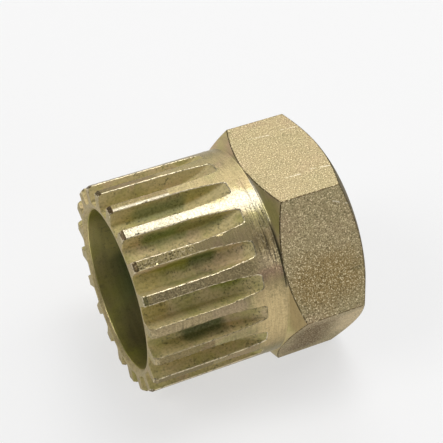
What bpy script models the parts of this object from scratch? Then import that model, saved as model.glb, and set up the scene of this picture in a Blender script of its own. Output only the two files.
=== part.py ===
"""Splined bottom bracket socket, turned and milled from one piece of 32 mm hexagon bar.

The socket lies on one flat of its hexagon, as it does on a bench. Its axis is along X: the
open splined mouth points to -X and the hexagon is at +X. Z is up and the flat rests at Z = 0.
The origin is under the middle of the length. A station below is a distance along the axis from
the mouth face, and every radius is measured from the axis.
"""

import math

import bmesh
import bpy
from mathutils import Matrix, Vector

MM = 0.001

# Lengths along the axis, from the mouth to the rear face.
GROOVE_LENGTH = 17.6 * MM
NECK_LENGTH = 3.4 * MM
HEAD_LENGTH = 13.0 * MM

# Hexagon head, for a 32 mm spanner. Both its ends are turned to a cone.
ACROSS_FLATS = 32.0 * MM
SHOULDER_ANGLE = math.radians(34)  # the shoulder's slope against a square face
SHOULDER_FILLET = 0.4 * MM
REAR_FACE_DIAMETER = 30.0 * MM
REAR_CHAMFER_ANGLE = math.radians(30)  # the rear chamfer's slope against a square face

# Splined barrel. The neck behind the grooves has the diameter of the tooth tips.
TIP_DIAMETER = 31.9 * MM
GROOVE_DEPTH = 2.6 * MM
TOOTH_COUNT = 20
TIP_WIDTH = 1.48 * MM
FLANK_ANGLE = math.radians(15)  # a groove wall against the groove's middle plane
FLOOR_CORNER = 0.45 * MM
CUTTER_DIAMETER = 30.0 * MM  # the disc cutter that leaves the curved run-outs
SPLINE_TURN = math.radians(0.8)  # from the middle of the top flat to the nearest tooth

# Edges of the mouth.
LEAD_IN_LENGTH = 0.58 * MM
LEAD_IN_DEPTH = 0.35 * MM
MOUTH_CHAMFER = 0.5 * MM

# Stepped bore that the bracket's spindle passes through: wide behind the mouth, then narrower.
BORE_WALL = 1.0 * MM  # the metal left between a groove's floor and the bore
LEDGE_WIDTH = 2.35 * MM  # the ring-shaped ledge where the bore narrows to the spindle hole
SPINDLE_HOLE_LENGTH = 10.5 * MM
REAR_HOLE_CHAMFER = 0.8 * MM

# How finely the round forms are faceted.
TURNED_SEGMENTS = 120
FILLET_SEGMENTS = 3
RUN_OUT_SEGMENTS = 10

# How far a cutter reaches past what it cuts.
OVERRUN = 1.0 * MM

SHOULDER_STATION = GROOVE_LENGTH + NECK_LENGTH
OVERALL_LENGTH = SHOULDER_STATION + HEAD_LENGTH
TIP_RADIUS = TIP_DIAMETER / 2
BORE_RADIUS = TIP_RADIUS - GROOVE_DEPTH - BORE_WALL
SPINDLE_HOLE_RADIUS = BORE_RADIUS - LEDGE_WIDTH
CORNER_RADIUS = ACROSS_FLATS / 2 / math.cos(math.pi / 6)
BLANK_RADIUS = CORNER_RADIUS + OVERRUN
MERGE_DISTANCE = 1e-7
CREASE_ANGLE = math.radians(25)


def clear_scene():
    for old in list(bpy.data.objects):
        bpy.data.objects.remove(old, do_unlink=True)


def yellow_zinc():
    """Steel with a yellow passivated zinc coat, a dull straw gold."""
    straw = (0.50, 0.44, 0.27, 1)
    material = bpy.data.materials.new("yellow_zinc")
    material.use_nodes = True
    material.diffuse_color = straw
    shader = material.node_tree.nodes["Principled BSDF"]
    shader.inputs["Base Color"].default_value = straw
    shader.inputs["Metallic"].default_value = 1.0
    shader.inputs["Roughness"].default_value = 0.38
    return material


def new_object(name, bm):
    bmesh.ops.recalc_face_normals(bm, faces=bm.faces)
    mesh = bpy.data.meshes.new(name)
    bm.to_mesh(mesh)
    bm.free()
    made = bpy.data.objects.new(name, mesh)
    bpy.context.scene.collection.objects.link(made)
    return made


def vertices_in(geometry):
    return [item for item in geometry if isinstance(item, bmesh.types.BMVert)]


def fillet(before, corner, after, radius):
    """Points of the arc that rounds a corner of an outline, from the run before to the run after."""
    corner = Vector(corner)
    back = (Vector(before) - corner).normalized()
    ahead = (Vector(after) - corner).normalized()
    half = back.angle(ahead) / 2
    centre = corner + (back + ahead).normalized() * radius / math.sin(half)
    start = (corner + back * radius / math.tan(half) - centre).normalized()
    end = (corner + ahead * radius / math.tan(half) - centre).normalized()
    turns = [step / FILLET_SEGMENTS for step in range(FILLET_SEGMENTS + 1)]
    return [tuple(centre + start.slerp(end, turn) * radius) for turn in turns]


def turned(name, profile):
    """A solid turned about X, from (station, radius) points that start and end on the axis."""
    bm = bmesh.new()
    points = [bm.verts.new((station, 0, radius)) for station, radius in profile]
    edges = [bm.edges.new(pair) for pair in zip(points, points[1:])]
    bmesh.ops.spin(
        bm,
        geom=points + edges,
        cent=(0, 0, 0),
        axis=(1, 0, 0),
        angle=math.tau,
        steps=TURNED_SEGMENTS,
        use_merge=True,
    )
    bmesh.ops.remove_doubles(bm, verts=bm.verts, dist=MERGE_DISTANCE)
    return new_object(name, bm)


def turned_blank():
    """The turned outside, with the hexagon still round and a little over its corners."""
    rear_radius = REAR_FACE_DIAMETER / 2
    barrel_start = (LEAD_IN_LENGTH, TIP_RADIUS)
    shoulder_foot = (SHOULDER_STATION, TIP_RADIUS)
    shoulder_length = (BLANK_RADIUS - TIP_RADIUS) * math.tan(SHOULDER_ANGLE)
    shoulder_top = (SHOULDER_STATION + shoulder_length, BLANK_RADIUS)
    chamfer_length = (BLANK_RADIUS - rear_radius) * math.tan(REAR_CHAMFER_ANGLE)
    profile = [
        (0, 0),
        (0, TIP_RADIUS - LEAD_IN_DEPTH),
        barrel_start,
        *fillet(barrel_start, shoulder_foot, shoulder_top, SHOULDER_FILLET),
        shoulder_top,
        (OVERALL_LENGTH - chamfer_length, BLANK_RADIUS),
        (OVERALL_LENGTH, rear_radius),
        (OVERALL_LENGTH, 0),
    ]
    return turned("splined_socket", profile)


def bore_cutter():
    """The stepped bore and its two chamfers, run out past both faces."""
    ledge = OVERALL_LENGTH - SPINDLE_HOLE_LENGTH
    before_mouth = -OVERRUN
    past_rear = OVERALL_LENGTH + OVERRUN
    profile = [
        (before_mouth, 0),
        (before_mouth, BORE_RADIUS + MOUTH_CHAMFER + OVERRUN),
        (MOUTH_CHAMFER, BORE_RADIUS),
        (ledge, BORE_RADIUS),
        (ledge, SPINDLE_HOLE_RADIUS),
        (OVERALL_LENGTH - REAR_HOLE_CHAMFER, SPINDLE_HOLE_RADIUS),
        (past_rear, SPINDLE_HOLE_RADIUS + REAR_HOLE_CHAMFER + OVERRUN),
        (past_rear, 0),
    ]
    return turned("bore_cutter", profile)


def flats_cutter():
    """A thick hexagonal ring round the head: what it takes off the blank leaves the six flats."""
    bm = bmesh.new()
    bmesh.ops.create_circle(bm, segments=6, radius=CORNER_RADIUS)
    bmesh.ops.create_circle(bm, segments=6, radius=2 * BLANK_RADIUS)
    ring = bmesh.ops.bridge_loops(bm, edges=bm.edges[:])["faces"]
    far_end = bmesh.ops.extrude_face_region(bm, geom=ring)["geom"]
    # The fillet rises past the flats a little before the shoulder, so the ring starts there.
    start = SHOULDER_STATION - SHOULDER_FILLET
    length = OVERALL_LENGTH + OVERRUN - start
    bmesh.ops.translate(bm, verts=vertices_in(far_end), vec=(0, 0, length))
    # The circles' first corners are on Y and stay there, which leaves a flat on top and below.
    bmesh.ops.rotate(bm, verts=bm.verts, matrix=Matrix.Rotation(math.pi / 2, 3, "Y"))
    bmesh.ops.translate(bm, verts=bm.verts, vec=(start, 0, 0))
    return new_object("flats_cutter", bm)


def groove_section():
    """The disc cutter's rim as (across, depth) points, with the depth measured from the tips."""
    half_gap = math.pi / TOOTH_COUNT - TIP_WIDTH / TIP_DIAMETER
    edge_across = TIP_RADIUS * math.sin(half_gap)
    edge_depth = TIP_RADIUS * (1 - math.cos(half_gap))
    slope = math.tan(FLANK_ANGLE)
    half_floor = edge_across - (GROOVE_DEPTH - edge_depth) * slope
    half_top = edge_across + (edge_depth + OVERRUN) * slope
    top = (half_top, -OVERRUN)
    floor_middle = (0, GROOVE_DEPTH)
    right = [top, *fillet(top, (half_floor, GROOVE_DEPTH), floor_middle, FLOOR_CORNER)]
    left = [(-across, depth) for across, depth in reversed(right)]
    return right + left


def sweep_groove(bm):
    """One groove: a straight run in from the mouth, then the disc cutter's curved run-out."""
    cutter_radius = CUTTER_DIAMETER / 2
    run_out = math.sqrt(cutter_radius**2 - (cutter_radius - GROOVE_DEPTH) ** 2)
    straight_end = GROOVE_LENGTH - run_out
    rim = [
        bm.verts.new((-OVERRUN, across, TIP_RADIUS - depth))
        for across, depth in groove_section()
    ]
    straight = bmesh.ops.extrude_face_region(bm, geom=[bm.faces.new(rim)])["geom"]
    bmesh.ops.translate(bm, verts=vertices_in(straight), vec=(straight_end + OVERRUN, 0, 0))
    end_of_straight = [item for item in straight if isinstance(item, bmesh.types.BMFace)]
    bmesh.ops.spin(
        bm,
        geom=end_of_straight,
        cent=(straight_end, 0, TIP_RADIUS - GROOVE_DEPTH + cutter_radius),
        axis=(0, -1, 0),
        angle=math.acos((cutter_radius - GROOVE_DEPTH - OVERRUN) / cutter_radius),
        steps=RUN_OUT_SEGMENTS,
    )
    bmesh.ops.delete(bm, geom=end_of_straight, context="FACES_ONLY")


def spline_cutter():
    """All the grooves, each halfway between two teeth."""
    pitch = math.tau / TOOTH_COUNT
    bm = bmesh.new()
    for number in range(TOOTH_COUNT):
        before = set(bm.verts)
        sweep_groove(bm)
        made = [vertex for vertex in bm.verts if vertex not in before]
        turn = Matrix.Rotation(SPLINE_TURN + (number + 0.5) * pitch, 3, "X")
        bmesh.ops.rotate(bm, verts=made, matrix=turn)
    return new_object("spline_cutter", bm)


def cut(body, cutter):
    boolean = body.modifiers.new(cutter.name, "BOOLEAN")
    boolean.operation = "DIFFERENCE"
    boolean.solver = "EXACT"
    boolean.object = cutter
    cutter.hide_render = True
    cutter.display_type = "WIRE"


def settle(body, cutters):
    """Applies the cuts, shades the turned faces smooth and lays the socket on its flat."""
    graph = bpy.context.evaluated_depsgraph_get()
    blank = body.data
    body.data = bpy.data.meshes.new_from_object(body.evaluated_get(graph))
    body.data.name = body.name
    bpy.data.meshes.remove(blank)
    body.modifiers.clear()
    for cutter in cutters:
        bpy.data.objects.remove(cutter, do_unlink=True)
    body.data.shade_smooth()
    body.data.set_sharp_from_angle(angle=CREASE_ANGLE)
    body.location = (-OVERALL_LENGTH / 2, 0, ACROSS_FLATS / 2)


clear_scene()
socket = turned_blank()
socket.data.materials.append(yellow_zinc())
cutters = [flats_cutter(), bore_cutter(), spline_cutter()]
for cutter in cutters:
    cut(socket, cutter)
settle(socket, cutters)
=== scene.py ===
# %% [markdown]
# # A splined bottom bracket socket in yellow zinc
#
# The socket is one piece of steel. A lathe turns its outside and its stepped bore, a milling
# machine cuts six flats and twenty grooves, and then it is plated with zinc and dipped in a
# yellow passivating bath. This lesson makes the same piece again over a imported CAD solid, with
# what the solid leaves out: finer facets, broken edges, burrs, a lathe mark and the finish.

# The finished piece has to stay in it.

# %% Load the frame
import math

import bmesh
import bpy
from mathutils import Matrix, Vector, noise


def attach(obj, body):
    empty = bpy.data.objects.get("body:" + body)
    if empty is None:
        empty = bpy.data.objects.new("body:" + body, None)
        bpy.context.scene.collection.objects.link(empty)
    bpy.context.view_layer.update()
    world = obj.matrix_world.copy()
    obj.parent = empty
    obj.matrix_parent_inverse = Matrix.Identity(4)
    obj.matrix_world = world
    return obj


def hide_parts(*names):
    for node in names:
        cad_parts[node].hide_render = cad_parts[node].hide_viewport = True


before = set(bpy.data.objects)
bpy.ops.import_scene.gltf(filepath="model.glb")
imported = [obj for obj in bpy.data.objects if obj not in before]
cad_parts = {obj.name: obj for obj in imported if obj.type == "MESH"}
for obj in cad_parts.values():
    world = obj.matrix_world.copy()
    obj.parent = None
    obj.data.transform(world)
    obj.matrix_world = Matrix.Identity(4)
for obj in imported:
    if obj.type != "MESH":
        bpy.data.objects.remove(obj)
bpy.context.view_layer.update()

MM = 0.001

# %% [markdown]
# ## The camera
#
# The photograph was taken with a long lens from the left, above and in front of the mouth. Its
# straight edges and round rims fix one camera, and these are its angles, distance and lens.
# The image is square and 443 pixels wide, but only the angle of view matters here.

# %% Place the camera
CAMERA_AZIMUTH = math.radians(-23.54)
CAMERA_ELEVATION = math.radians(41.39)
CAMERA_ROLL = math.radians(-1.23)
CAMERA_DISTANCE = 209.86 * MM
CAMERA_LENS = 112.15
CAMERA_NEAREST = 10 * MM
AIM = Vector((2.07, 3.47, 19.64)) * MM

backwards = Vector((
    math.sin(CAMERA_AZIMUTH) * math.cos(CAMERA_ELEVATION),
    -math.cos(CAMERA_AZIMUTH) * math.cos(CAMERA_ELEVATION),
    math.sin(CAMERA_ELEVATION),
))
turn = Matrix.Rotation(CAMERA_AZIMUTH, 4, "Z")
tip_down = Matrix.Rotation(math.pi / 2 - CAMERA_ELEVATION, 4, "X")
roll = Matrix.Rotation(CAMERA_ROLL, 4, "Z")
camera = bpy.data.objects.new("camera", bpy.data.cameras.new("camera"))
bpy.context.scene.collection.objects.link(camera)
camera.matrix_world = Matrix.Translation(AIM + backwards * CAMERA_DISTANCE) @ turn @ tip_down @ roll
camera.data.lens = CAMERA_LENS
camera.data.clip_start = CAMERA_NEAREST
bpy.context.scene.camera = camera
print("camera at", [round(value / MM, 1) for value in camera.matrix_world.translation], "mm")

# %% [markdown]
# ## The body, as a lathe and a mill make it
#
# The quickest way to this shape would be to bevel the CAD solid, but that is a mesh of loose
# triangles with three degrees between its facets. So the body is made again in the same steps,
# three times as fine. A profile is spun into the blank, and cutters take away the flats, the
# bore and the grooves. A station is a distance along the axis from the mouth.
#
# The lathe left one fine ridge round the neck. It is only some hundredths of a millimetre
# high, but it catches the light, so it is in the profile and not painted on.

# %% Sizes of the tool
OVERALL_LENGTH = 34.0 * MM
SHOULDER_STATION = 21.0 * MM
SHOULDER_ANGLE = math.radians(34)
SHOULDER_FILLET = 0.4 * MM
HALF_FLATS = 16.0 * MM
CORNER_RADIUS = HALF_FLATS / math.cos(math.pi / 6)
REAR_FACE_RADIUS = 15.0 * MM
REAR_CHAMFER_ANGLE = math.radians(30)
TIP_RADIUS = 15.95 * MM
LEAD_IN_LENGTH = 0.58 * MM
LEAD_IN_DEPTH = 0.35 * MM
RIDGE_STATION = 19.4 * MM
RIDGE_HEIGHT = 0.035 * MM
RIDGE_HALF_WIDTH = 0.22 * MM
BORE_RADIUS = 12.35 * MM
MOUTH_CHAMFER = 0.5 * MM
LEDGE_STATION = 23.5 * MM
HOLE_RADIUS = 10.0 * MM
REAR_HOLE_CHAMFER = 0.8 * MM
OVERRUN = 1.0 * MM
BLANK_RADIUS = CORNER_RADIUS + OVERRUN
print("the blank is turned", round(2 * BLANK_RADIUS / MM, 1), "mm wide before the flats are cut")


# %% Helpers that turn a profile into a solid
TURNED_STEPS = 360
WELD = 0.0001 * MM


def new_solid(name, bm):
    """The finished bmesh as an object, with its faces pointing outwards."""
    bmesh.ops.recalc_face_normals(bm, faces=bm.faces)
    mesh = bpy.data.meshes.new(name)
    bm.to_mesh(mesh)
    bm.free()
    made = bpy.data.objects.new(name, mesh)
    bpy.context.scene.collection.objects.link(made)
    return made


def points_of(geometry):
    """Only the points of what an operator made."""
    return [item for item in geometry if isinstance(item, bmesh.types.BMVert)]


def rounded(before, corner, after, radius, steps):
    """The arc that rounds a corner of an outline."""
    corner = Vector(corner)
    back = (Vector(before) - corner).normalized()
    ahead = (Vector(after) - corner).normalized()
    half = back.angle(ahead) / 2
    centre = corner + (back + ahead).normalized() * radius / math.sin(half)
    start = (corner + back * radius / math.tan(half) - centre).normalized()
    end = (corner + ahead * radius / math.tan(half) - centre).normalized()
    return [tuple(centre + start.slerp(end, step / steps) * radius) for step in range(steps + 1)]


def between(start, end, steps):
    """Points that cut a long straight run of a profile into short lengths."""
    return [tuple(Vector(start).lerp(Vector(end), step / steps)) for step in range(1, steps)]


def turned(name, profile):
    """A solid spun about the axis, from (station, radius) points that end on the axis."""
    bm = bmesh.new()
    points = [bm.verts.new((station, 0, radius)) for station, radius in profile]
    edges = [bm.edges.new(pair) for pair in zip(points, points[1:])]
    bmesh.ops.spin(
        bm,
        geom=points + edges,
        cent=(0, 0, 0),
        axis=(1, 0, 0),
        angle=math.tau,
        steps=TURNED_STEPS,
        use_merge=True,
    )
    bmesh.ops.remove_doubles(bm, verts=bm.verts, dist=WELD)
    return new_solid(name, bm)


# %% Turn the blank
BARREL_LENGTHS = 60
NECK_LENGTHS = 4
FILLET_STEPS = 6

barrel_start = (LEAD_IN_LENGTH, TIP_RADIUS)
shoulder_foot = (SHOULDER_STATION, TIP_RADIUS)
shoulder_run = (BLANK_RADIUS - TIP_RADIUS) * math.tan(SHOULDER_ANGLE)
shoulder_top = (SHOULDER_STATION + shoulder_run, BLANK_RADIUS)
rear_run = (BLANK_RADIUS - REAR_FACE_RADIUS) * math.tan(REAR_CHAMFER_ANGLE)
ridge_start = (RIDGE_STATION - RIDGE_HALF_WIDTH, TIP_RADIUS)
ridge_end = (RIDGE_STATION + RIDGE_HALF_WIDTH, TIP_RADIUS)
foot_arc = rounded(barrel_start, shoulder_foot, shoulder_top, SHOULDER_FILLET, FILLET_STEPS)
body = turned("zinc_plated_socket", [
    (0, 0),
    (0, TIP_RADIUS - LEAD_IN_DEPTH),
    barrel_start,
    *between(barrel_start, ridge_start, BARREL_LENGTHS),
    ridge_start,
    (RIDGE_STATION, TIP_RADIUS + RIDGE_HEIGHT),
    ridge_end,
    *between(ridge_end, foot_arc[0], NECK_LENGTHS),
    *foot_arc,
    shoulder_top,
    (OVERALL_LENGTH - rear_run, BLANK_RADIUS),
    (OVERALL_LENGTH, REAR_FACE_RADIUS),
    (OVERALL_LENGTH, 0),
])
print("the turned blank has", len(body.data.polygons), "faces")

# %% [markdown]
# The bore is stepped: wide behind the mouth for the bracket's cup, then a ledge, then a narrower
# hole for the spindle. Its cutter is one more turned profile, a little longer than the blank at
# both ends, so that no thin skin is left where the faces would meet.

# %% Turn the cutter for the bore
bore_cutter = turned("bore_cutter", [
    (-OVERRUN, 0),
    (-OVERRUN, BORE_RADIUS + MOUTH_CHAMFER + OVERRUN),
    (MOUTH_CHAMFER, BORE_RADIUS),
    (LEDGE_STATION, BORE_RADIUS),
    (LEDGE_STATION, HOLE_RADIUS),
    (OVERALL_LENGTH - REAR_HOLE_CHAMFER, HOLE_RADIUS),
    (OVERALL_LENGTH + OVERRUN, HOLE_RADIUS + REAR_HOLE_CHAMFER + OVERRUN),
    (OVERALL_LENGTH + OVERRUN, 0),
])
print("the bore cutter has", len(bore_cutter.data.polygons), "faces")

# %% [markdown]
# ## The flats
#
# On the real bar the flats are there before the lathe cuts the shoulder, and the cone of the
# shoulder leaves each flat with a curved edge. A hexagonal ring that takes away everything
# outside the flats gives the same curves, because the cone and the plane meet the same way.

# %% Make the cutter for the flats
bm = bmesh.new()
bmesh.ops.create_circle(bm, segments=6, radius=CORNER_RADIUS)
bmesh.ops.create_circle(bm, segments=6, radius=2 * BLANK_RADIUS)
ring = bmesh.ops.bridge_loops(bm, edges=bm.edges[:])["faces"]
far_end = bmesh.ops.extrude_face_region(bm, geom=ring)["geom"]
flats_start = SHOULDER_STATION - SHOULDER_FILLET
ring_length = OVERALL_LENGTH + OVERRUN - flats_start
bmesh.ops.translate(bm, verts=points_of(far_end), vec=(0, 0, ring_length))
bmesh.ops.rotate(bm, verts=bm.verts, matrix=Matrix.Rotation(math.pi / 2, 3, "Y"))
bmesh.ops.translate(bm, verts=bm.verts, vec=(flats_start, 0, 0))
flats_cutter = new_solid("flats_cutter", bm)
print("the flats' cutter is", round(ring_length / MM, 1), "mm long")

# %% [markdown]
# ## The grooves
#
# A disc cutter runs in from the mouth and lifts off at the end of each groove. So each groove
# is straight at first and then curves up with the disc's own radius. The cutter's outline is
# extruded along the straight part and then spun about the disc's centre. Sixty small steps
# would be smoother than the metal, and thirty are enough.

# %% Draw the disc cutter's outline
TOOTH_COUNT = 20
TIP_WIDTH = 1.48 * MM
GROOVE_DEPTH = 2.6 * MM
GROOVE_LENGTH = 17.6 * MM
FLANK_ANGLE = math.radians(15)
FLOOR_CORNER = 0.45 * MM
DISC_RADIUS = 15.0 * MM
RUN_OUT_STEPS = 30
SPLINE_TURN = math.radians(0.8)

half_gap = math.pi / TOOTH_COUNT - TIP_WIDTH / (2 * TIP_RADIUS)
edge_across = TIP_RADIUS * math.sin(half_gap)
edge_depth = TIP_RADIUS * (1 - math.cos(half_gap))
half_floor = edge_across - (GROOVE_DEPTH - edge_depth) * math.tan(FLANK_ANGLE)
outline_top = (edge_across + (edge_depth + OVERRUN) * math.tan(FLANK_ANGLE), -OVERRUN)
floor_end = (half_floor, GROOVE_DEPTH)
floor_arc = rounded(outline_top, floor_end, (0, GROOVE_DEPTH), FLOOR_CORNER, FILLET_STEPS)
right_half = [outline_top, *floor_arc]
outline = right_half + [(-across, depth) for across, depth in reversed(right_half)]
print("a groove's floor is", round(2 * half_floor / MM, 2), "mm wide")

# %% Sweep the grooves
groove_run_out = math.sqrt(DISC_RADIUS**2 - (DISC_RADIUS - GROOVE_DEPTH) ** 2)
straight_end = GROOVE_LENGTH - groove_run_out
lift_angle = math.acos((DISC_RADIUS - GROOVE_DEPTH - OVERRUN) / DISC_RADIUS)
bm = bmesh.new()
for tooth in range(TOOTH_COUNT):
    before = set(bm.verts)
    rim = [bm.verts.new((-OVERRUN, across, TIP_RADIUS - depth)) for across, depth in outline]
    straight = bmesh.ops.extrude_face_region(bm, geom=[bm.faces.new(rim)])["geom"]
    bmesh.ops.translate(bm, verts=points_of(straight), vec=(straight_end + OVERRUN, 0, 0))
    cap = [item for item in straight if isinstance(item, bmesh.types.BMFace)]
    bmesh.ops.spin(
        bm,
        geom=cap,
        cent=(straight_end, 0, TIP_RADIUS - GROOVE_DEPTH + DISC_RADIUS),
        axis=(0, -1, 0),
        angle=lift_angle,
        steps=RUN_OUT_STEPS,
    )
    bmesh.ops.delete(bm, geom=cap, context="FACES_ONLY")
    swept = [vertex for vertex in bm.verts if vertex not in before]
    place = Matrix.Rotation(SPLINE_TURN + (tooth + 0.5) * math.tau / TOOTH_COUNT, 3, "X")
    bmesh.ops.rotate(bm, verts=swept, matrix=place)
spline_cutter = new_solid("spline_cutter", bm)
print("each groove is straight for", round(straight_end / MM, 2), "mm")

# %% [markdown]
# The three cutters are taken from the blank with Boolean modifiers. Their exact solver is the
# one for this, because many edges of the cutters lie nearly in line with the blank's facets.
# The result is read once as a mesh, and then the modifiers and the cutters can go.

# %% Cut the blank
for cutter in (flats_cutter, bore_cutter, spline_cutter):
    cut = body.modifiers.new(cutter.name, "BOOLEAN")
    cut.operation = "DIFFERENCE"
    cut.solver = "EXACT"
    cut.object = cutter
evaluated = body.evaluated_get(bpy.context.evaluated_depsgraph_get())
cut_mesh = bpy.data.meshes.new_from_object(evaluated)
body.modifiers.clear()
for cutter in (flats_cutter, bore_cutter, spline_cutter):
    bpy.data.objects.remove(cutter, do_unlink=True)
print("the cut body has", len(cut_mesh.polygons), "faces")

# %% [markdown]
# The operators hand on their faces in an order that changes from run to run. The shape is the
# same, but the next steps merge close points, and in another order they would merge others. So
# the points are put in the order of their places, and the faces in the order of their points.

# %% Put the points and faces in a fixed order
ordered = sorted(cut_mesh.vertices, key=lambda point: point.co[:])
number_of = {point.index: number for number, point in enumerate(ordered)}
outlines = []
for face in cut_mesh.polygons:
    corners = [number_of[index] for index in face.vertices]
    lowest = corners.index(min(corners))
    outlines.append(corners[lowest:] + corners[:lowest])
places = [point.co[:] for point in ordered]
cut_mesh.clear_geometry()
cut_mesh.from_pydata(places, [], sorted(outlines))
print("put", len(places), "points in order,", len(places) - len(set(places)), "of them double")

# %% [markdown]
# ## One finish for each way of cutting
#
# The plating is the same all over, but the steel under it isn't. The flats have the grain of
# the bar, the lathe leaves fine rings, and the disc cutter leaves dull grooves in which the
# bath dries green. Each face is sorted by where it lies and which way it faces, before its
# edges are broken.
#
# The way it faces is read from its normal. FACING_IN and FACING_OUT are measured along the
# radius, and FACING_REAR, FACING_MOUTH and SIDEWAYS along X.

# %% Sort the faces
FINISHES = ["bar_flat", "turned_neck", "turned_head", "tooth_tip", "milled_groove", "bored_wall",
            "turned_mouth", "lead_in", "broken_edge", "turned_rear", "head_edge"]
FACING_IN = -0.5
FACING_OUT = 0.99
FACING_REAR = 0.5
FACING_MOUTH = -0.3
SIDEWAYS = 0.01
LARGE_FACE = 10 * MM * MM
SKIN = 0.05 * MM
TOUCHING = 0.01 * MM


def finish_of(face):
    """Which tool cut this face."""
    centre = face.calc_center_median()
    outward = Vector((0, centre.y, centre.z)).normalized()
    radius = math.hypot(centre.y, centre.z)
    facing_out = face.normal.dot(outward)
    if centre.x < MOUTH_CHAMFER and facing_out < FACING_IN:
        return "turned_mouth"
    if centre.x > flats_start and face.normal.x > FACING_REAR:
        return "turned_rear"
    if facing_out < FACING_IN or (radius < BORE_RADIUS and centre.x < OVERALL_LENGTH - OVERRUN):
        return "bored_wall"
    if centre.x > flats_start and abs(face.normal.x) < SIDEWAYS:
        return "bar_flat" if face.calc_area() > LARGE_FACE else "turned_neck"
    if centre.x > flats_start:
        return "turned_head"
    if centre.x < TOUCHING:
        return "turned_mouth"
    if radius > TIP_RADIUS - SKIN and (facing_out > FACING_OUT or centre.x > GROOVE_LENGTH):
        return "tooth_tip" if centre.x < straight_end else "turned_neck"
    if centre.x < LEAD_IN_LENGTH and face.normal.x < FACING_MOUTH:
        return "lead_in"
    return "milled_groove"


bm = bmesh.new()
bm.from_mesh(cut_mesh)
bmesh.ops.remove_doubles(bm, verts=bm.verts, dist=TOUCHING)
bmesh.ops.dissolve_degenerate(bm, edges=bm.edges, dist=2 * TOUCHING)
for face in bm.faces:
    face.material_index = FINISHES.index(finish_of(face))
for index, finish in enumerate(FINISHES):
    print(finish, sum(face.material_index == index for face in bm.faces), "faces")

# %% [markdown]
# No edge of a plated tool is truly sharp. The bevel that breaks them needs edges of even
# length, so points that the Booleans left close together are merged first, and the long edges
# on the teeth are split to give the burrs something to bend.

# %% Even out the edges that the cutters left
SHARP = math.radians(20)
CREASE = math.radians(40)
CLOSE = 0.06 * MM
EDGE_STEP = 0.18 * MM
TEETH_FROM = 15.0 * MM


def sharp_edges():
    """The edges that turn by more than the lathe's and the disc's own facets."""
    return [edge for edge in bm.edges if edge.is_manifold and edge.calc_face_angle() > SHARP]


def on_splines(place):
    """Whether a place is out on the teeth or round the ends of the grooves."""
    return place.x < GROOVE_LENGTH + EDGE_STEP and math.hypot(place.y, place.z) > TEETH_FROM


on_edges = {vertex for edge in sharp_edges() for vertex in edge.verts}
in_order = [vertex for vertex in bm.verts if vertex in on_edges]
bmesh.ops.remove_doubles(bm, verts=in_order, dist=CLOSE)
long_edges = [
    edge for edge in sharp_edges()
    if edge.calc_length() > EDGE_STEP and on_splines((edge.verts[0].co + edge.verts[1].co) / 2)
]
bmesh.ops.subdivide_edges(bm, edges=long_edges, cuts=1)
print("split", len(long_edges), "long edges")

# %% Break the edges
EDGE_BREAK = 0.11 * MM
TOWARDS_MOUTH = -0.1

to_break = sharp_edges()
broken = set(bmesh.ops.bevel(
    bm,
    geom=to_break,
    offset=EDGE_BREAK,
    offset_type="OFFSET",
    segments=2,
    profile=0.5,
    affect="EDGES",
    clamp_overlap=False,
    material=-1,
)["faces"])
for face in broken:
    centre = face.calc_center_median()
    beside_lead_in = abs(centre.x - LEAD_IN_LENGTH) < 2 * EDGE_BREAK
    faces_mouth = face.normal.x < TOWARDS_MOUTH
    if centre.x > flats_start + SHOULDER_FILLET:
        face.material_index = FINISHES.index("head_edge")
    elif on_splines(centre) and beside_lead_in and faces_mouth:
        face.material_index = FINISHES.index("lead_in")
    elif on_splines(centre):
        face.material_index = FINISHES.index("broken_edge")
print("broke", len(to_break), "edges")

# %% [markdown]
# The disc cutter drags a ragged burr along the edge of each tooth, and the plating bath keeps
# it. Noise moves the points of the broken edges a few hundredths of a millimetre, sideways more
# than outwards, so the light breaks up along them as it does on the real tool. The noise gets
# a seed, because without one it starts from the clock and each run has other burrs.

# %% Raise the burrs
BURR_SIZE = 0.27 * MM
BURR_SIDEWAYS = 0.075 * MM
BURR_OUTWARDS = 0.025 * MM
FINER = 2.7
FINE_SHARE = 0.5
BURR_SEED = 5

noise.seed_set(BURR_SEED)
broken_on_teeth = [face for face in broken if on_splines(face.calc_center_median())]
burred = {vertex for face in broken_on_teeth for vertex in face.verts}
for vertex in burred:
    coarse = noise.noise_vector(vertex.co / BURR_SIZE)
    fine = noise.noise_vector(vertex.co / BURR_SIZE * FINER) * FINE_SHARE
    push = coarse + fine
    outward = Vector((0, vertex.co.y, vertex.co.z)).normalized()
    lift = push.dot(outward)
    sideways = push - outward * lift
    vertex.co += sideways * BURR_SIDEWAYS + outward * min(lift, 1.0) * BURR_OUTWARDS
    vertex.co.x = max(vertex.co.x, 0.0)
print("moved", len(burred), "points")

# %% [markdown]
# Smooth shading hides the facets of the turned faces. It stops at the border of each broken
# edge, so that the narrow bevel keeps its own line of light. The axis lay at zero until now, and
# the last move lifts the piece so that it lies on a flat, as the CAD solid does.

# %% Smooth the shading, but not over a broken edge
for face in bm.faces:
    face.smooth = True
for edge in bm.edges:
    faces = edge.link_faces
    at_border = len(faces) == 2 and (faces[0] in broken) != (faces[1] in broken)
    edge.smooth = not (at_border or edge.calc_face_angle(0.0) > CREASE)
bmesh.ops.translate(bm, verts=bm.verts, vec=(-OVERALL_LENGTH / 2, 0, HALF_FLATS))
bm.to_mesh(cut_mesh)
bm.free()
body.data = cut_mesh
triangles = sum(len(face.vertices) - 2 for face in cut_mesh.polygons)
print("the finished body has", triangles, "triangles")
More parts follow.
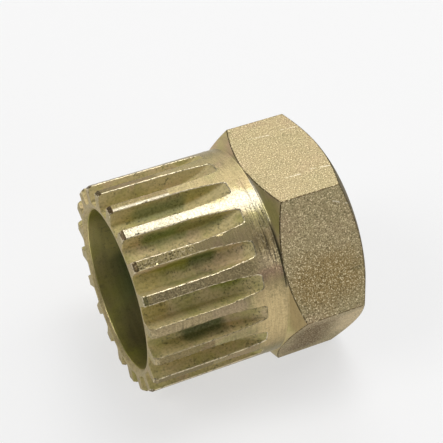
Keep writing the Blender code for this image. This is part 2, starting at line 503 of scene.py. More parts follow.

# %% [markdown]
# ## The finish
#
# Yellow passivated zinc is a thin film over bright metal. It is mostly straw gold, and it
# drifts to olive and to a pinkish grey where the film is thicker or thinner. One group of
# nodes makes that drift for every surface. Other groups make the marks that each tool left,
# the dark specks, the stains, the painted highlights and shade, and the scratches. Each
# surface then mixes them in its own measure, so the whole piece stays one coat over
# different steel.

# %% Helpers for building nodes
def add_node(tree, kind, inputs=None, **settings):
    """A node with its settings made and its inputs joined to a socket or given a value."""
    made = tree.nodes.new(kind)
    for name, value in settings.items():
        setattr(made, name, value)
    for key, value in (inputs or {}).items():
        if isinstance(value, bpy.types.NodeSocket):
            tree.links.new(value, made.inputs[key])
        else:
            made.inputs[key].default_value = value
    return made


def new_group(name, inputs, outputs):
    """An empty node group with named sockets, and the nodes that stand for them."""
    tree = bpy.data.node_groups.new(name, "ShaderNodeTree")
    for label, kind in inputs.items():
        tree.interface.new_socket(label, in_out="INPUT", socket_type=kind)
    for label, kind in outputs.items():
        tree.interface.new_socket(label, in_out="OUTPUT", socket_type=kind)
    print("group", name, "takes", ", ".join(inputs), "and gives", ", ".join(outputs))
    return tree, tree.nodes.new("NodeGroupInput").outputs, tree.nodes.new("NodeGroupOutput")


def remapped(tree, value, low, high, to_low=0.0, to_high=1.0):
    """A smooth step that turns low and high into two other values."""
    made = add_node(tree, "ShaderNodeMapRange", {
        "Value": value,
        "From Min": low,
        "From Max": high,
        "To Min": to_low,
        "To Max": to_high,
    }, interpolation_type="SMOOTHSTEP")
    return made.outputs["Result"]


def mixed(tree, amount, first, second, blend="MIX"):
    """Two colours mixed by an amount."""
    made = add_node(tree, "ShaderNodeMix", {0: amount, 6: first, 7: second},
                    data_type="RGBA", blend_type=blend)
    return made.outputs[2]


def object_place(tree):
    """The place on the piece, in its own coordinates."""
    return add_node(tree, "ShaderNodeTexCoord").outputs["Object"]


# %% The drifting colour of the coat
SHIFT = (0.031, 0.017, 0.043)
OLIVE_RANGE = (0.42, 0.68)
BLUSH_RANGE = (0.50, 0.72)

clouds, given, gives = new_group(
    "coat_clouds",
    {"Straw": "NodeSocketColor", "Olive": "NodeSocketColor", "Blush": "NodeSocketColor",
     "Scale": "NodeSocketFloat"},
    {"Color": "NodeSocketColor"},
)
spot = object_place(clouds)
shifted = add_node(clouds, "ShaderNodeVectorMath", {0: spot, 1: SHIFT},
                   operation="ADD").outputs[0]
olive_noise = add_node(clouds, "ShaderNodeTexNoise",
                       {"Vector": spot, "Scale": given["Scale"], "Detail": 4.0})
blush_noise = add_node(clouds, "ShaderNodeTexNoise",
                       {"Vector": shifted, "Scale": given["Scale"], "Detail": 3.0})
olive_share = remapped(clouds, olive_noise.outputs["Fac"], *OLIVE_RANGE)
blush_share = remapped(clouds, blush_noise.outputs["Fac"], *BLUSH_RANGE)
with_olive = mixed(clouds, olive_share, given["Straw"], given["Olive"])
with_blush = mixed(clouds, blush_share, with_olive, given["Blush"])
clouds.links.new(with_blush, gives.inputs["Color"])

# %% [markdown]
# The steel under the coat has a fine grain. Its tops are pale, partly rubbed through to the
# zinc and partly painted glints, and its pits stay dark, so one noise gives three things: a
# height, a mask for the tops and a loss for the pits. The size is the width of one grain, about
# a fifth of a millimetre.

# %% Grain
PIT_RANGE = (0.30, 0.47)
TOP_RANGE = (0.55, 0.70)

grain, given, gives = new_group(
    "grain",
    {"Size": "NodeSocketFloat", "Pits": "NodeSocketFloat", "Tops": "NodeSocketFloat"},
    {"Shade": "NodeSocketFloat", "Tops": "NodeSocketFloat", "Height": "NodeSocketFloat"},
)
per_metre = add_node(grain, "ShaderNodeMath", {0: 1.0, 1: given["Size"]},
                     operation="DIVIDE").outputs[0]
grain_noise = add_node(grain, "ShaderNodeTexNoise", {
    "Vector": object_place(grain), "Scale": per_metre, "Detail": 1.0, "Roughness": 0.6,
}).outputs["Fac"]
pit_loss = remapped(grain, grain_noise, *PIT_RANGE, given["Pits"], 1.0)
top_mask = remapped(grain, grain_noise, *TOP_RANGE, 0.0, given["Tops"])
grain.links.new(pit_loss, gives.inputs["Shade"])
grain.links.new(top_mask, gives.inputs["Tops"])
grain.links.new(grain_noise, gives.inputs["Height"])

# %% [markdown]
# A lathe leaves rings and a milling cutter leaves feed lines. Both are noise that is fine in one
# direction and long in the others, so one group serves both with other numbers.

# %% Streaks of the tools
STREAK_RANGE = (0.34, 0.66)

streaks, given, gives = new_group(
    "tool_streaks",
    {"Fineness": "NodeSocketVector", "Dark": "NodeSocketFloat", "Bright": "NodeSocketFloat"},
    {"Shade": "NodeSocketFloat", "Height": "NodeSocketFloat"},
)
stretched = add_node(streaks, "ShaderNodeVectorMath",
                     {0: object_place(streaks), 1: given["Fineness"]},
                     operation="MULTIPLY").outputs[0]
streak_noise = add_node(streaks, "ShaderNodeTexNoise",
                        {"Vector": stretched, "Scale": 1.0, "Detail": 3.0}).outputs["Fac"]
shade = remapped(streaks, streak_noise, *STREAK_RANGE, given["Dark"], given["Bright"])
streaks.links.new(shade, gives.inputs["Shade"])
streaks.links.new(streak_noise, gives.inputs["Height"])

# %% [markdown]
# The bath leaves dark green mottling where it dries last. Small dots of one noise show only
# inside the wide patches of another.

# %% Mottling
DOT_RANGE = (0.53, 0.66)
PATCH_RANGE = (0.44, 0.60)

mottling, given, gives = new_group(
    "mottling",
    {"Dots": "NodeSocketFloat", "Patches": "NodeSocketFloat", "Share": "NodeSocketFloat"},
    {"Mask": "NodeSocketFloat"},
)
spot = object_place(mottling)
dots = add_node(mottling, "ShaderNodeTexNoise",
                {"Vector": spot, "Scale": given["Dots"], "Detail": 2.0}).outputs["Fac"]
patches = add_node(mottling, "ShaderNodeTexNoise",
                   {"Vector": spot, "Scale": given["Patches"], "Detail": 1.0}).outputs["Fac"]
dot_mask = remapped(mottling, dots, *DOT_RANGE)
patch_mask = remapped(mottling, patches, *PATCH_RANGE)
both = add_node(mottling, "ShaderNodeMath", {0: dot_mask, 1: patch_mask}, operation="MULTIPLY")
mottle = add_node(mottling, "ShaderNodeMath", {0: both.outputs[0], 1: given["Share"]},
                  operation="MULTIPLY").outputs[0]
mottling.links.new(mottle, gives.inputs["Mask"])

# %% [markdown]
# Stains, painted highlights and painted shade, rubbed patches and scratches all lie along a
# short straight line, or about one point when the line has no length. The distance to the line
# is worked out once, in a group of its own: the nearest point is the one that the line's own
# share of the way gives.

# %% Distance to a line
to_line, given, gives = new_group(
    "distance_to_line",
    {"Start": "NodeSocketVector", "End": "NodeSocketVector"},
    {"Distance": "NodeSocketFloat"},
)
along = add_node(to_line, "ShaderNodeVectorMath", {0: given["End"], 1: given["Start"]},
                 operation="SUBTRACT").outputs[0]
from_start = add_node(to_line, "ShaderNodeVectorMath",
                      {0: object_place(to_line), 1: given["Start"]},
                      operation="SUBTRACT").outputs[0]
gone_along = add_node(to_line, "ShaderNodeVectorMath", {0: from_start, 1: along},
                      operation="DOT_PRODUCT").outputs["Value"]
whole_way = add_node(to_line, "ShaderNodeVectorMath", {0: along, 1: along},
                     operation="DOT_PRODUCT").outputs["Value"]
share = add_node(to_line, "ShaderNodeMath", {0: gone_along, 1: whole_way},
                 operation="DIVIDE", use_clamp=True).outputs[0]
nearest = add_node(to_line, "ShaderNodeVectorMath", {0: along, "Scale": share},
                   operation="SCALE").outputs[0]
gap = add_node(to_line, "ShaderNodeVectorMath", {0: from_start, 1: nearest},
               operation="DISTANCE").outputs["Value"]
to_line.links.new(gap, gives.inputs["Distance"])


def line_distance(tree, given):
    """The distance group joined to a Start and an End."""
    return add_node(tree, "ShaderNodeGroup", {"Start": given["Start"], "End": given["End"]},
                    node_tree=to_line).outputs["Distance"]


# %% [markdown]
# In some places the film dried thicker, thinner or not at all. Such a stain is a soft patch
# along its line. The same soft patches also paint highlights and shade into the colour. Noise
# makes its border wander, because it stretches the distance to the line at one place and
# shrinks it at the next.

# %% Stains and painted light
WANDER_SCALE = 500.0
LEAST_WANDER = 0.4
WANDER_SPAN = 1.2
STAIN_AND_LIGHT_SOFTNESS = (1.0, 0.2)

stain_and_painted_light_patch, given, gives = new_group(
    "stain_and_painted_light_patch",
    {"Start": "NodeSocketVector", "End": "NodeSocketVector", "Reach": "NodeSocketFloat"},
    {"Mask": "NodeSocketFloat"},
)
wander = add_node(stain_and_painted_light_patch, "ShaderNodeTexNoise", {
    "Vector": object_place(stain_and_painted_light_patch), "Scale": WANDER_SCALE, "Detail": 3.0,
}).outputs["Fac"]
wandered = add_node(stain_and_painted_light_patch, "ShaderNodeMath", {0: wander, 1: WANDER_SPAN, 2: LEAST_WANDER},
                    operation="MULTIPLY_ADD")
ratio = add_node(stain_and_painted_light_patch, "ShaderNodeMath", {0: line_distance(stain_and_painted_light_patch, given), 1: given["Reach"]},
                 operation="DIVIDE")
wavy = add_node(stain_and_painted_light_patch, "ShaderNodeMath", {0: ratio.outputs[0], 1: wandered.outputs[0]},
                operation="MULTIPLY")
stain_and_painted_light_patch.links.new(remapped(stain_and_painted_light_patch, wavy.outputs[0], *STAIN_AND_LIGHT_SOFTNESS), gives.inputs["Mask"])

# %% [markdown]
# A scratch is a short straight run across the grain, broken where the grain dips.

# %% A scratch between two points
INNER_WIDTH = 0.3
BREAK_SCALE = 2600.0
BREAK_RANGE = (0.40, 0.58)

scratch, given, gives = new_group(
    "scratch",
    {"Start": "NodeSocketVector", "End": "NodeSocketVector", "Width": "NodeSocketFloat"},
    {"Mask": "NodeSocketFloat"},
)
inner = add_node(scratch, "ShaderNodeMath", {0: given["Width"], 1: INNER_WIDTH},
                 operation="MULTIPLY").outputs[0]
in_line = remapped(scratch, line_distance(scratch, given), given["Width"], inner)
breaks = add_node(scratch, "ShaderNodeTexNoise", {
    "Vector": object_place(scratch), "Scale": BREAK_SCALE, "Detail": 1.0,
}).outputs["Fac"]
kept = remapped(scratch, breaks, *BREAK_RANGE)
scratch_mask = add_node(scratch, "ShaderNodeMath", {0: in_line, 1: kept}, operation="MULTIPLY")
scratch.links.new(scratch_mask.outputs[0], gives.inputs["Mask"])

# %% [markdown]
# Less light gets down into the bore, and that is painted in: the wall gets darker and cooler
# with depth, as painted shade.
# This group only has to split off X and turn a stretch of it into a mask.

# %% Depth along the axis
depth, given, gives = new_group(
    "depth_along_axis",
    {"Shallow": "NodeSocketFloat", "Deep": "NodeSocketFloat"},
    {"Mask": "NodeSocketFloat"},
)
apart = add_node(depth, "ShaderNodeSeparateXYZ", {0: object_place(depth)}).outputs["X"]
depth.links.new(remapped(depth, apart, given["Shallow"], given["Deep"]), gives.inputs["Mask"])
print("made", len(bpy.data.node_groups), "node groups")

# %% [markdown]
# ## The measure of each finish
#
# Each finish says how much of each effect it takes. Colours are straw, olive and blush. Grain
# is its size in millimetres, the shade of its pits and the share of pale zinc and painted glint
# on its tops.
# Streaks are the marks a metre along X, Y and Z, and their darkest and brightest shade.
# Mottling is dots and patches a metre and its share. Roughness is that of the pits and of the
# tops, and relief is the height of the grain and of the streaks in micrometres.
#
# Film is the clear part of the coat, which adds a soft white gloss. The grooves and the rear
# have none. The grooves are also less than wholly metallic, because the bath dried in them to
# something like a thin chalk, and pure metal would mirror the dark groove beside it.

# %% Measures of the bar, the neck and the teeth
COATS = {
    "bar_flat": dict(
        colours=((0.41, 0.33, 0.178), (0.39, 0.325, 0.172), (0.425, 0.322, 0.188)), clouds_of=150.0,
        grain_of=(0.20, 0.55, 0.95), streaks_of=((900.0, 900.0, 900.0), 0.95, 1.04),
        mottling_of=(1500.0, 300.0, 0.25), roughness=(0.50, 0.34), relief=(26.0, 0.0), film=0.1,
    ),
    "turned_neck": dict(
        colours=((0.36, 0.285, 0.14), (0.31, 0.27, 0.12), (0.36, 0.265, 0.15)), clouds_of=220.0,
        grain_of=(0.24, 0.85, 0.08), streaks_of=((4600.0, 420.0, 420.0), 0.90, 1.10),
        mottling_of=(2400.0, 500.0, 0.3), roughness=(0.38, 0.26), relief=(6.0, 8.0), film=0.25,
    ),
    "turned_head": dict(
        colours=((0.58, 0.465, 0.245), (0.51, 0.44, 0.20), (0.60, 0.44, 0.265)), clouds_of=220.0,
        grain_of=(0.25, 0.92, 0.04), streaks_of=((3800.0, 300.0, 300.0), 0.92, 1.06),
        mottling_of=(2400.0, 500.0, 0.15), roughness=(0.40, 0.30), relief=(2.0, 5.0), film=0.1,
    ),
    "turned_rear": dict(
        colours=((0.20, 0.17, 0.12), (0.18, 0.16, 0.10), (0.20, 0.15, 0.11)), clouds_of=220.0,
        grain_of=(0.25, 0.80, 0.05), streaks_of=((300.0, 2600.0, 2600.0), 0.88, 1.08),
        mottling_of=(2400.0, 500.0, 0.2), roughness=(0.60, 0.50), relief=(3.0, 4.0), film=0.0,
    ),
    "head_edge": dict(
        colours=((0.19, 0.145, 0.075), (0.16, 0.13, 0.06), (0.19, 0.13, 0.075)), clouds_of=300.0,
        grain_of=(0.30, 0.60, 0.80), streaks_of=((900.0, 900.0, 900.0), 0.85, 1.15),
        mottling_of=(2400.0, 500.0, 0.2), roughness=(0.50, 0.36), relief=(8.0, 0.0), film=0.0,
    ),
    "tooth_tip": dict(
        colours=((0.24, 0.185, 0.08), (0.22, 0.175, 0.07), (0.25, 0.18, 0.09)), clouds_of=260.0,
        grain_of=(0.20, 0.76, 0.15), streaks_of=((3800.0, 1500.0, 1500.0), 0.90, 1.10),
        mottling_of=(2400.0, 600.0, 0.3), roughness=(0.40, 0.26), relief=(8.0, 5.0), film=0.25,
    ),
}

# %% Measures of the cut, bored and faced surfaces
COATS |= {
    "milled_groove": dict(
        colours=((0.66, 0.565, 0.30), (0.54, 0.49, 0.20), (0.68, 0.545, 0.335)), clouds_of=240.0,
        grain_of=(0.34, 0.84, 0.10), streaks_of=((700.0, 2400.0, 2400.0), 0.94, 1.05),
        mottling_of=(2600.0, 420.0, 0.6), roughness=(0.78, 0.66), relief=(8.0, 4.0), film=0.0,
        metallic=0.75,
    ),
    "bored_wall": dict(
        colours=((0.76, 0.68, 0.25), (0.70, 0.66, 0.20), (0.74, 0.62, 0.30)), clouds_of=160.0,
        grain_of=(0.30, 0.90, 0.04), streaks_of=((1500.0, 200.0, 200.0), 0.93, 1.05),
        mottling_of=(1800.0, 400.0, 0.2), roughness=(0.50, 0.42), relief=(3.0, 3.0), film=0.25,
    ),
    "turned_mouth": dict(
        colours=((0.45, 0.365, 0.18), (0.41, 0.345, 0.16), (0.44, 0.34, 0.18)), clouds_of=260.0,
        grain_of=(0.28, 0.80, 0.10), streaks_of=((900.0, 900.0, 900.0), 0.92, 1.08),
        mottling_of=(2400.0, 600.0, 0.3), roughness=(0.50, 0.36), relief=(6.0, 0.0), film=0.25,
    ),
    "lead_in": dict(
        colours=((0.16, 0.11, 0.05), (0.14, 0.10, 0.04), (0.16, 0.10, 0.05)), clouds_of=300.0,
        grain_of=(0.26, 0.60, 0.25), streaks_of=((1500.0, 1500.0, 1500.0), 0.85, 1.12),
        mottling_of=(2400.0, 700.0, 0.6), roughness=(0.50, 0.36), relief=(10.0, 0.0), film=0.25,
    ),
    # The broken edges are painted much paler than the teeth, as a painted highlight along them.
    "broken_edge": dict(
        colours=((0.72, 0.62, 0.42), (0.66, 0.58, 0.36), (0.70, 0.58, 0.40)), clouds_of=300.0,
        grain_of=(0.40, 0.40, 0.20), streaks_of=((1500.0, 1500.0, 1500.0), 0.85, 1.08),
        mottling_of=(2400.0, 700.0, 0.4), roughness=(0.42, 0.28), relief=(8.0, 0.0), film=0.25,
    ),
}
MOTTLE_COLOUR = (0.12, 0.115, 0.055, 1)
# pale tops: partly rubbed zinc, partly painted glints
RUBBED_ZINC_AND_PAINTED_GLINT = (0.80, 0.68, 0.43, 1)
CLEAR_COAT_ROUGHNESS = 0.3
EDGE_TINT = (0.70, 0.66, 0.56, 1)
print("measured out", len(COATS), "finishes")

# %% [markdown]
# Each stain, painted highlight and painted shade has two ends in millimetres, in the piece's own
# place, a reach and a colour. Most of them are on the neck, in the grooves and on the five teeth
# that face the eye. Seen from the top down, these teeth have a painted highlight along one edge,
# a pale painted highlight all over, a worn straw one, dark brown and straw again. The bore is
# painted darker and cooler between DEEP_FROM and DEEP_TO, as painted shade deeper inside.

# %% Where the stains, painted highlights and painted shade are
STAINS_AND_PAINTED_LIGHT = {
    "turned_neck": [
        ((1.9, -13.0, 25.2), (1.9, -13.0, 25.2), 3.2, (0.27, 0.21, 0.12)),
        ((0.4, -13.9, 23.7), (3.4, -13.9, 23.7), 1.7, (0.245, 0.165, 0.10)),
        ((2.4, -11.0, 27.5), (2.4, -11.0, 27.5), 2.3, (0.26, 0.20, 0.095)),
        # The next two are a painted highlight: the pale band of the second tooth runs on along the
        # neck, and the neck is paler round it where it meets the shoulder.
        ((-9.0, -5.2, 31.1), (0.0, -5.2, 31.1), 1.2, (0.42, 0.385, 0.29)),
        ((0.5, -5.2, 31.1), (2.8, -5.6, 31.0), 2.4, (0.42, 0.385, 0.29)),
        ((-8.5, -13.0, 25.2), (-1.0, -13.0, 25.2), 2.2, (0.18, 0.14, 0.068)),
        ((-8.5, -15.2, 20.7), (-3.0, -15.2, 20.7), 1.6, (0.36, 0.275, 0.16)),
        ((1.6, -15.3, 20.4), (1.8, -15.8, 13.5), 4.2, (0.56, 0.43, 0.215)),
    ],
    "bar_flat": [
        # The first is painted shade on the lowest flat, where it mirrors the shadow under the
        # piece. The second is a painted reflection of the lit floor at the rear end of that flat.
        # The third is painted shade that keeps the front flat darker than the top one.
        ((8.2, -16.0, 11.7), (9.2, -11.6, 4.1), 4.8, (0.16, 0.09, 0.02)),
        ((14.6, -16.6, 12.8), (15.6, -13.0, 6.6), 3.8, (0.64, 0.51, 0.31)),
        ((8.0, -15.6, 20.9), (12.0, -15.6, 20.9), 6.0, (0.35, 0.255, 0.11)),
    ],
    "turned_head": [
        # painted highlight along the fillet at the foot of the shoulder
        ((3.9, -3.0, 31.6), (3.9, -8.8, 29.3), 0.9, (0.52, 0.47, 0.34)),
        ((4.6, -16.6, 20.0), (5.2, -17.0, 15.0), 3.0, (0.40, 0.30, 0.14)),
        ((4.4, -8.0, 30.8), (4.8, -11.0, 28.9), 1.8, (0.48, 0.42, 0.16)),
        # The next two are painted shade, a dark crease in the same fillet further down.
        ((3.8, -9.5, 29.1), (3.8, -12.9, 25.7), 0.5, (0.10, 0.085, 0.045)),
        ((3.8, -12.9, 25.7), (3.8, -15.2, 21.5), 0.5, (0.10, 0.085, 0.045)),
    ],
    "tooth_tip": [
        # The first two are painted highlights: a pale line along one edge of the first tooth and a
        # pale band over the whole second one.
        ((-16.4, -0.8, 31.9), (1.0, -0.8, 31.9), 0.5, (0.60, 0.54, 0.40)),
        ((-16.5, -5.1, 31.1), (1.0, -5.1, 31.1), 1.6, (0.37, 0.335, 0.24)),
        ((-16.5, -9.6, 28.8), (-4.0, -9.6, 28.8), 1.8, (0.43, 0.345, 0.155)),
        ((-15.0, -13.0, 25.2), (-6.0, -13.0, 25.2), 1.7, (0.18, 0.142, 0.07)),
        ((-16.0, -15.2, 20.7), (-6.0, -15.2, 20.7), 1.6, (0.37, 0.29, 0.155)),
    ],
    "milled_groove": [
        # The first eight darken the grooves: partly the film's green and partly painted shade down
        # in the grooves under the teeth. The last three, by the mouth, are warmer.
        ((-13.0, -5.6, 29.2), (-8.0, -5.6, 29.2), 1.8, (0.30, 0.35, 0.12)),
        ((-8.0, -5.6, 29.2), (-2.5, -5.6, 29.2), 1.4, (0.42, 0.40, 0.17)),
        ((-9.5, -9.2, 26.6), (-5.5, -9.2, 26.6), 1.9, (0.24, 0.27, 0.09)),
        ((-13.5, -9.2, 26.6), (-9.5, -9.2, 26.6), 1.7, (0.44, 0.42, 0.10)),
        ((-12.5, -1.2, 30.2), (-6.5, -1.2, 30.2), 1.7, (0.34, 0.36, 0.17)),
        ((-12.0, -11.7, 23.9), (-6.0, -11.7, 23.9), 1.8, (0.28, 0.30, 0.10)),
        ((-6.0, -11.9, 23.2), (-2.0, -11.9, 23.2), 1.6, (0.34, 0.35, 0.08)),
        ((-11.0, -13.8, 17.2), (-6.5, -13.8, 17.2), 1.9, (0.22, 0.23, 0.10)),
        ((-16.5, -9.0, 28.0), (-13.0, -9.0, 28.0), 1.8, (0.70, 0.54, 0.36)),
        ((-16.5, -9.6, 25.4), (-14.5, -9.6, 25.4), 2.2, (0.62, 0.53, 0.22)),
        ((-16.5, -12.0, 21.9), (-14.5, -12.0, 21.9), 2.2, (0.56, 0.46, 0.17)),
    ],
    "broken_edge": [
        # painted shade that dims the pale broken edges of the lower teeth
        ((-16.5, -15.4, 19.0), (1.0, -15.4, 19.0), 5.5, (0.40, 0.325, 0.17)),
    ],
    "bored_wall": [
        # painted light: the far wall is paler near the mouth
        ((-15.5, 12.0, 17.5), (-12.5, 12.2, 14.5), 4.0, (0.98, 0.86, 0.40)),
        ((-13.5, 1.5, 3.8), (-12.0, 4.5, 4.5), 4.0, (0.42, 0.36, 0.18)),
    ],
    "lead_in": [
        ((-16.7, -13.0, 25.2), (-16.7, -13.0, 25.2), 1.6, (0.32, 0.28, 0.12)),
        ((-16.7, -15.4, 20.8), (-16.7, -15.8, 13.0), 3.6, (0.46, 0.37, 0.20)),
    ],
}
# painted shade: the bore's wall darker and cooler deeper inside
DEEP_BORE_PAINTED_SHADE = (0.27, 0.31, 0.18, 1)
DEEP_FROM = -16.5 * MM
DEEP_TO = -9.5 * MM
print("placed", sum(len(places) for places in STAINS_AND_PAINTED_LIGHT.values()), "stains")

# %% [markdown]
# On one tooth and beside the head the surface is rougher: the pits are darker, the tops are
# brighter, partly rubbed and partly painted glints, and the lathe's rings stand out. Beside the
# head their brighter rings are partly a painted highlight. Such a patch is a line and a reach
# like a stain's, with the pits and tops of the grain and the darkest and brightest streaks that
# hold in it. Five scratches cross the flats and show the bare zinc.

# %% Rough patches and scratches
ROUGH_PATCHES = {
    "tooth_tip": ((-15.5, -9.5, 28.8), (-5.0, -9.5, 28.8), 2.2, 0.20, 0.95, 0.80, 1.20),
    "turned_neck": ((2.4, -7.4, 30.1), (2.8, -12.8, 25.6), 2.3, 0.60, 0.45, 0.50, 1.70),
}
SCRATCHES = [
    ((7.93, 5.68, 32.0), (11.03, 5.27, 32.0)),
    ((12.91, 5.72, 32.0), (15.78, 5.43, 32.0)),
    ((8.59, -4.70, 32.0), (10.94, -4.82, 32.0)),
    ((12.76, -4.42, 32.0), (15.92, -4.91, 32.0)),
    ((13.49, -10.29, 30.18), (15.54, -10.74, 29.40)),
]
SCRATCH_WIDTH = 0.12 * MM
BARE_ZINC = (0.74, 0.67, 0.50, 1)
print("placed", len(ROUGH_PATCHES), "rough patches and", len(SCRATCHES), "scratches")

# %% [markdown]
# The colour is built up in the order in which it came about: the coat and its stains, with the
# painted highlights and shade among them, the shade of the pits and tool marks, the rubbed tops
# with their painted glints, the mottling, and the scratches last. The roughness follows the
# grain, and one Bump node takes the heights of grain and streaks.

# %% Mix each finish
MICROMETRE = MM / 1000
ROUGH_RANGE = (0.35, 0.65)


def placed(tree, group, **values):
    """A group node with its own values."""
    made = add_node(tree, "ShaderNodeGroup", node_tree=group)
    for label, value in values.items():
        made.inputs[label].default_value = value
    return made


def along_line(tree, group, start, end, **values):
    """The mask of a stain or a scratch between two places in millimetres."""
    made = placed(tree, group, Start=Vector(start) * MM, End=Vector(end) * MM, **values)
    return made.outputs["Mask"]


def coated(name, colours, clouds_of, grain_of, streaks_of, mottling_of, roughness, relief, film,
           metallic=1.0):
    """A material of one finish: the drifting coat over grain, streaks and mottling."""
    material = bpy.data.materials.new(name)
    material.use_nodes = True
    tree = material.node_tree
    shader = tree.nodes["Principled BSDF"]
    shader.inputs["Metallic"].default_value = metallic
    shader.inputs["Specular Tint"].default_value = EDGE_TINT
    shader.inputs["Coat Weight"].default_value = film
    shader.inputs["Coat Roughness"].default_value = CLEAR_COAT_ROUGHNESS
    straw, olive, blush = [(*colour, 1) for colour in colours]
    coat = placed(tree, clouds, Straw=straw, Olive=olive, Blush=blush, Scale=clouds_of)
    grained = placed(tree, grain, Size=grain_of[0] * MM, Pits=grain_of[1], Tops=grain_of[2])
    tooled = placed(tree, streaks, Fineness=streaks_of[0], Dark=streaks_of[1], Bright=streaks_of[2])
    if name in ROUGH_PATCHES:
        start, end, reach, *rough = ROUGH_PATCHES[name]
        patch = along_line(tree, stain_and_painted_light_patch, start, end, Reach=reach * MM)
        sockets = [grained.inputs["Pits"], grained.inputs["Tops"],
                   tooled.inputs["Dark"], tooled.inputs["Bright"]]
        for socket, in_patch in zip(sockets, rough):
            tree.links.new(remapped(tree, patch, 0.0, 1.0, socket.default_value, in_patch), socket)
    mottled = placed(tree, mottling, Dots=mottling_of[0], Patches=mottling_of[1],
                     Share=mottling_of[2])
    colour = coat.outputs["Color"]
    # painted shade deeper in the bore
    if name == "bored_wall":
        deep = placed(tree, depth, Shallow=DEEP_FROM, Deep=DEEP_TO)
        colour = mixed(tree, deep.outputs["Mask"], colour, DEEP_BORE_PAINTED_SHADE)
    # stains, painted highlights and painted shade, one over the other
    for start, end, reach, stain_and_light_colour in STAINS_AND_PAINTED_LIGHT.get(name, []):
        stain_and_light_mask = along_line(tree, stain_and_painted_light_patch, start, end, Reach=reach * MM)
        colour = mixed(tree, stain_and_light_mask, colour, (*stain_and_light_colour, 1))
    shade = add_node(tree, "ShaderNodeMath",
                     {0: grained.outputs["Shade"], 1: tooled.outputs["Shade"]},
                     operation="MULTIPLY").outputs[0]
    colour = mixed(tree, 1.0, colour, shade, "MULTIPLY")
    # the pale tops are partly rubbed zinc and partly painted glints
    colour = mixed(tree, grained.outputs["Tops"], colour, RUBBED_ZINC_AND_PAINTED_GLINT)
    colour = mixed(tree, mottled.outputs["Mask"], colour, MOTTLE_COLOUR)
    if name == "bar_flat":
        for start, end in SCRATCHES:
            line = along_line(tree, scratch, start, end, Width=SCRATCH_WIDTH)
            colour = mixed(tree, line, colour, BARE_ZINC)
    tree.links.new(colour, shader.inputs["Base Color"])
    rubbed = remapped(tree, grained.outputs["Height"], *ROUGH_RANGE, *roughness)
    tree.links.new(rubbed, shader.inputs["Roughness"])
    grain_relief, streak_relief = [height * MICROMETRE for height in relief]
    streak_height = add_node(tree, "ShaderNodeMath",
                             {0: tooled.outputs["Height"], 1: streak_relief},
                             operation="MULTIPLY").outputs[0]
    height = add_node(tree, "ShaderNodeMath", {
        0: grained.outputs["Height"], 1: grain_relief, 2: streak_height,
    }, operation="MULTIPLY_ADD").outputs[0]
    bump = add_node(tree, "ShaderNodeBump", {"Height": height, "Strength": 1.0, "Distance": 1.0})
    tree.links.new(bump.outputs["Normal"], shader.inputs["Normal"])
    return material


for finish in FINISHES:
    cut_mesh.materials.append(coated(finish, **COATS[finish]))
print("mixed", len(cut_mesh.materials), "finishes")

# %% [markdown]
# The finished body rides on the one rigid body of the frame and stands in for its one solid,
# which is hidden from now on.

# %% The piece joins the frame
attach(body, "root")
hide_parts("splined_socket")
print(body.name, "stands in for splined_socket")

# %% [markdown]
# ## Floor and lights
#
# The photograph has a white ground. The floor is a pale paper that takes the shadow, and the
# light path lifts it part of the way to white for the camera and for what the metal reflects.

# %% Floor
WHITE_LIFT = 0.6
FLOOR_REACH = 1.5
PAPER_GREY = 0.9
PAPER_ROUGHNESS = 0.9

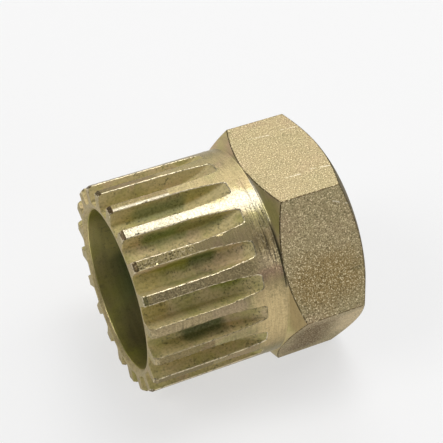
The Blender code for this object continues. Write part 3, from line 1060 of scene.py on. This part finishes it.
bm = bmesh.new()
bmesh.ops.create_grid(bm, x_segments=1, y_segments=1, size=FLOOR_REACH)
floor = new_solid("floor", bm)
paper = bpy.data.materials.new("white_paper")
paper.use_nodes = True
tree = paper.node_tree
shader = tree.nodes["Principled BSDF"]
shader.inputs["Base Color"].default_value = (PAPER_GREY, PAPER_GREY, PAPER_GREY, 1)
shader.inputs["Roughness"].default_value = PAPER_ROUGHNESS
rays = add_node(tree, "ShaderNodeLightPath").outputs
mirrored = add_node(tree, "ShaderNodeMath",
                    {0: rays["Is Glossy Ray"], 1: rays["Is Transmission Ray"]},
                    operation="MAXIMUM").outputs[0]
looked_at = add_node(tree, "ShaderNodeMath", {0: rays["Is Camera Ray"], 1: mirrored},
                     operation="MAXIMUM").outputs[0]
lift = add_node(tree, "ShaderNodeMath", {0: looked_at, 1: WHITE_LIFT},
                operation="MULTIPLY").outputs[0]
white = add_node(tree, "ShaderNodeEmission", {"Color": (1, 1, 1, 1), "Strength": 1.0})
blend = add_node(tree, "ShaderNodeMixShader", {0: lift, 1: shader.outputs[0], 2: white.outputs[0]})
tree.links.new(blend.outputs[0], tree.nodes["Material Output"].inputs["Surface"])
floor.data.materials.append(paper)
print("the floor reaches", FLOOR_REACH, "m each way")

# %% [markdown]
# Metal shows what is around it, so its shading says where the lamps stood. Ten square softboxes
# stand on a dome about the piece: a strong one overhead draws the bright line along one tooth,
# and the weaker ones round the sides keep the flats apart. Each has its azimuth and elevation
# in degrees and its power in watts, and the world fills the rest with a little white.

# %% Lights
SOFTBOXES = [
    (30, 75, 1.22), (180, 45, 0.92), (66, 45, 0.56), (0, 40, 0.57), (66, 15, 0.36), (-72, 22, 0.33),
    (100, 15, 0.18), (-60, 55, 0.13), (136, 15, 0.11), (177, 15, 0.05),
]
SOFTBOX_SIZE = 0.3
SOFTBOX_DISTANCE = 0.6
MIDDLE = Vector((0, 0, HALF_FLATS))
FILL = 0.13

for number, (azimuth, elevation, power) in enumerate(SOFTBOXES):
    around, up = math.radians(azimuth), math.radians(elevation)
    away = Vector((math.cos(around) * math.cos(up), math.sin(around) * math.cos(up), math.sin(up)))
    light = bpy.data.lights.new(f"softbox_{number}", "AREA")
    light.size = SOFTBOX_SIZE
    light.energy = power
    lamp = bpy.data.objects.new(light.name, light)
    bpy.context.scene.collection.objects.link(lamp)
    lamp.location = MIDDLE + away * SOFTBOX_DISTANCE
    lamp.rotation_euler = away.to_track_quat("Z", "Y").to_euler()
world = bpy.data.worlds.new("studio")
bpy.context.scene.world = world
world.use_nodes = True
world.node_tree.nodes["Background"].inputs["Color"].default_value = (1, 1, 1, 1)
world.node_tree.nodes["Background"].inputs["Strength"].default_value = FILL
bpy.context.scene.view_settings.view_transform = "Standard"
print("hung", len(SOFTBOXES), "softboxes")
